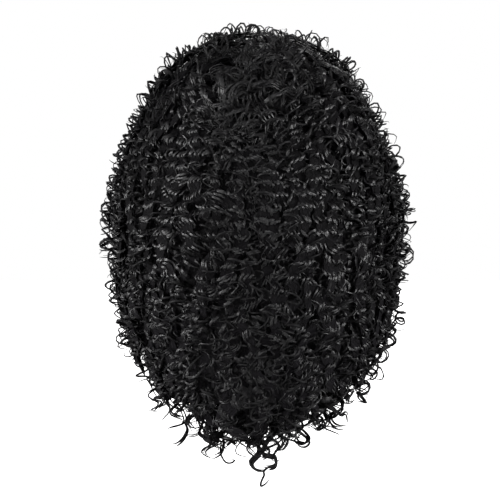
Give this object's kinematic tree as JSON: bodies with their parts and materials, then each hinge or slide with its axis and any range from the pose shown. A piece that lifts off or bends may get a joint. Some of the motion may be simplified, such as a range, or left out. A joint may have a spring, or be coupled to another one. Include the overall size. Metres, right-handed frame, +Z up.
{
  "type": "afro wig",
  "caption": "Large round curly wig of dense black coils on an open stretch cap, fuller at the back, with a fringe, long sides and loose corkscrew locks at the nape.",
  "frame": {"origin": "inside of the cap's crown, where the wig sits on top of the head", "axes": "+Z up, -Y towards the wearer's face, +X towards the wearer's left; the picture looks along -Y at the back"},
  "size_m": [0.2987, 0.2827, 0.4585],
  "materials": {
    "hair": "satin",
    "cap_net": "matte"
  },
  "bodies": {
    "root": {"wig_cap": "cap_net", "crown_hair": "hair", "fringe_hair": "hair", "upper_weft_hair": "hair", "middle_weft_hair": "hair", "nape_weft_hair": "hair"}
  },
  "joints": []
}
